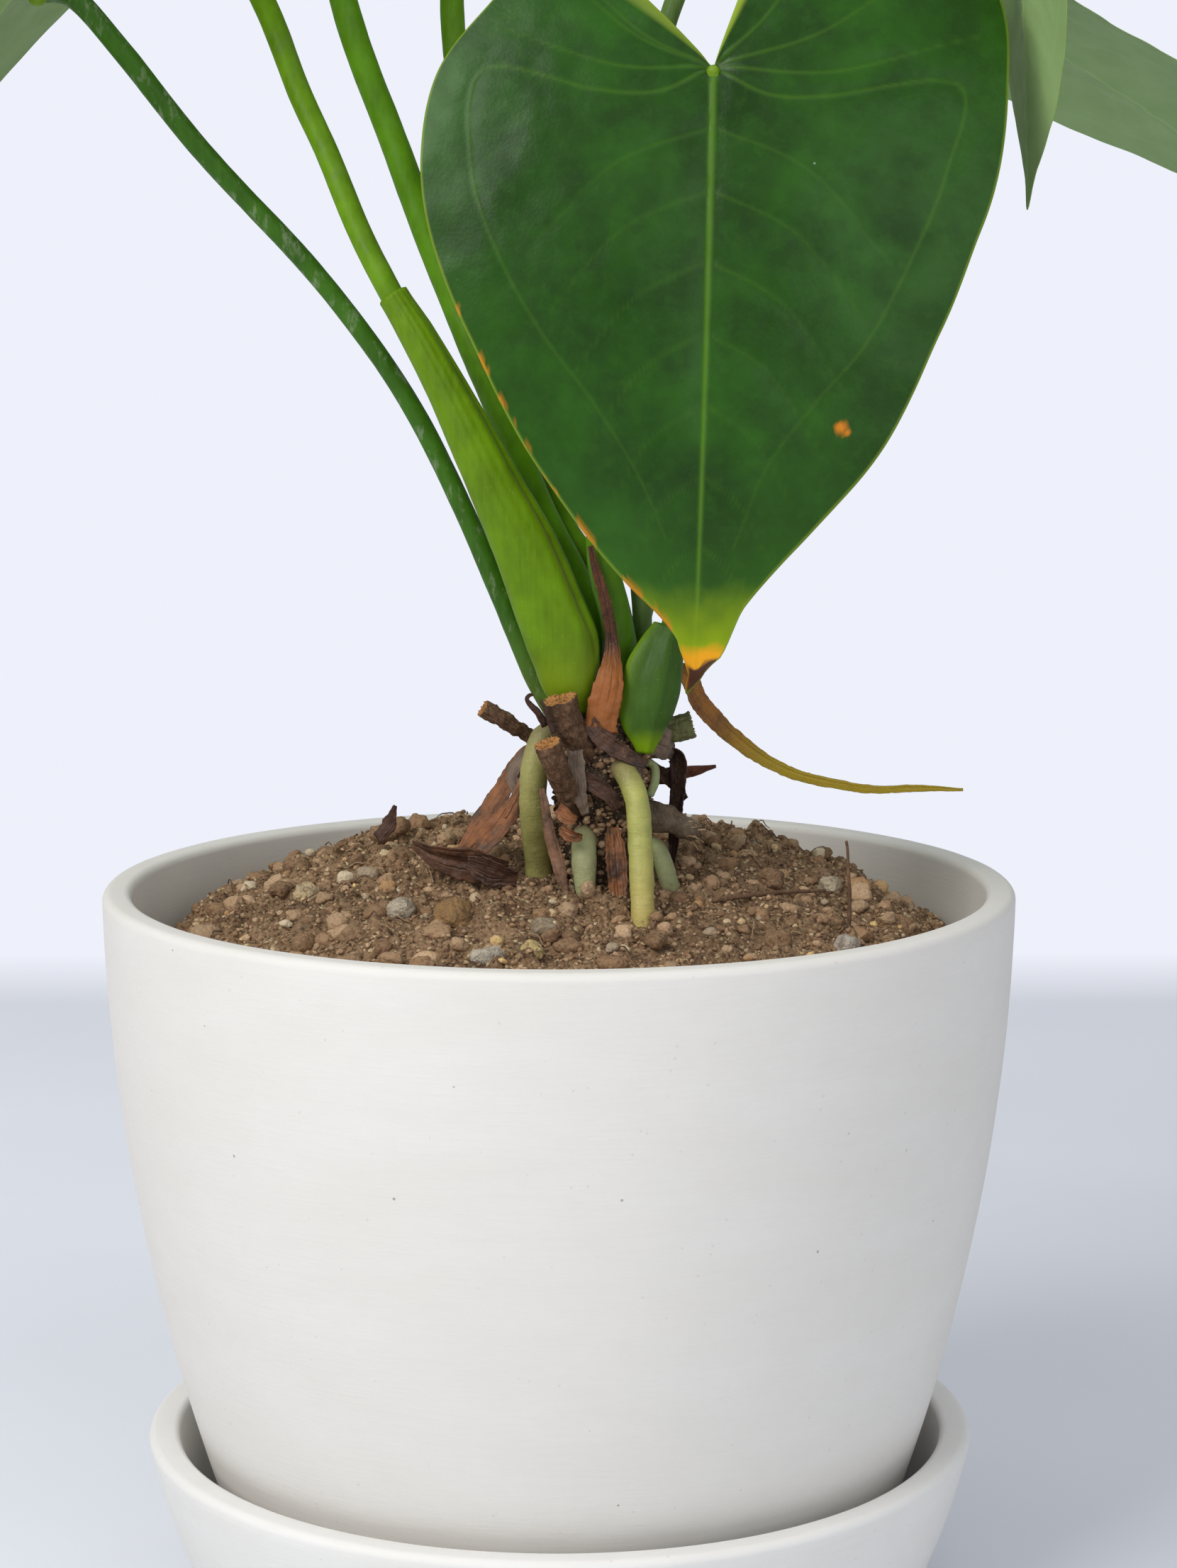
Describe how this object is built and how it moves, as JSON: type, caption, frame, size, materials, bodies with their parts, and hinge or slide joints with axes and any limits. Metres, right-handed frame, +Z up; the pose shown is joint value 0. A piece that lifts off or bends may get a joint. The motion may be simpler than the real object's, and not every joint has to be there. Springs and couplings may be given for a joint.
{
  "type": "potted anthurium",
  "caption": "Potted anthurium in a round stone-look pot on a saucer: heart-shaped leaves on long stalks, aerial roots, dried bracts and a heap of soil with stones.",
  "frame": {"origin": "centre of the saucer's underside, on the pot's axis", "axes": "+Z up along the pot's axis, -Y towards the front, where the largest leaf hangs, +X to the right seen from the front"},
  "size_m": [0.3815, 0.2679, 0.4568],
  "materials": {
    "pot_stone": "matte",
    "saucer_stone": "matte",
    "soil_brown": "rough",
    "crown_brown": "rough",
    "root_green": "matte",
    "petiole_green": "satin",
    "sheath_green": "satin",
    "leaf_green": "satin",
    "stub_brown": "rough",
    "bract_rust": "matte",
    "stone_tan": "rough",
    "twig_brown": "matte"
  },
  "bodies": {
    "root": {"leaf_front": "leaf_green", "leaf_left": "leaf_green", "leaf_right": "leaf_green", "leaf_right_hanging": "leaf_green", "leaf_upper_left": "leaf_green", "leaf_top": "leaf_green", "leaf_back": "leaf_green", "leaf_upper_right": "leaf_green", "petiole_front": "petiole_green", "petiole_left": "petiole_green", "petiole_right": "petiole_green", "petiole_right_hanging": "petiole_green", "petiole_upper_left": "petiole_green", "petiole_top": "petiole_green", "petiole_back": "petiole_green", "petiole_upper_right": "petiole_green", "sheath_left": "sheath_green", "sheath_right": "sheath_green", "crown": "crown_brown", "aerial_root_left": "root_green", "aerial_root_middle": "root_green", "aerial_root_front": "root_green", "aerial_root_right": "root_green", "aerial_root_thin": "root_green", "aerial_root_knotted": "root_green", "cut_stub_double": "stub_brown", "cut_stub_front": "stub_brown", "cut_stub_thin": "stub_brown", "cut_stub_right": "stub_brown", "dry_bract_upright": "bract_rust", "dry_bract_curling": "bract_rust", "dry_bract_spike": "bract_rust", "dry_bract_hanging": "bract_rust", "dry_bract_left": "bract_rust", "dry_leaf_curled": "bract_rust", "dry_strip_front": "bract_rust", "pot": "pot_stone", "saucer": "saucer_stone", "soil": "soil_brown", "stone_1": "stone_tan", "stone_2": "stone_tan", "stone_3": "stone_tan", "stone_4": "stone_tan", "stone_5": "stone_tan", "stone_6": "stone_tan", "stone_7": "stone_tan", "stone_8": "stone_tan", "twig_upright": "twig_brown", "twig_lying": "twig_brown"}
  },
  "joints": []
}
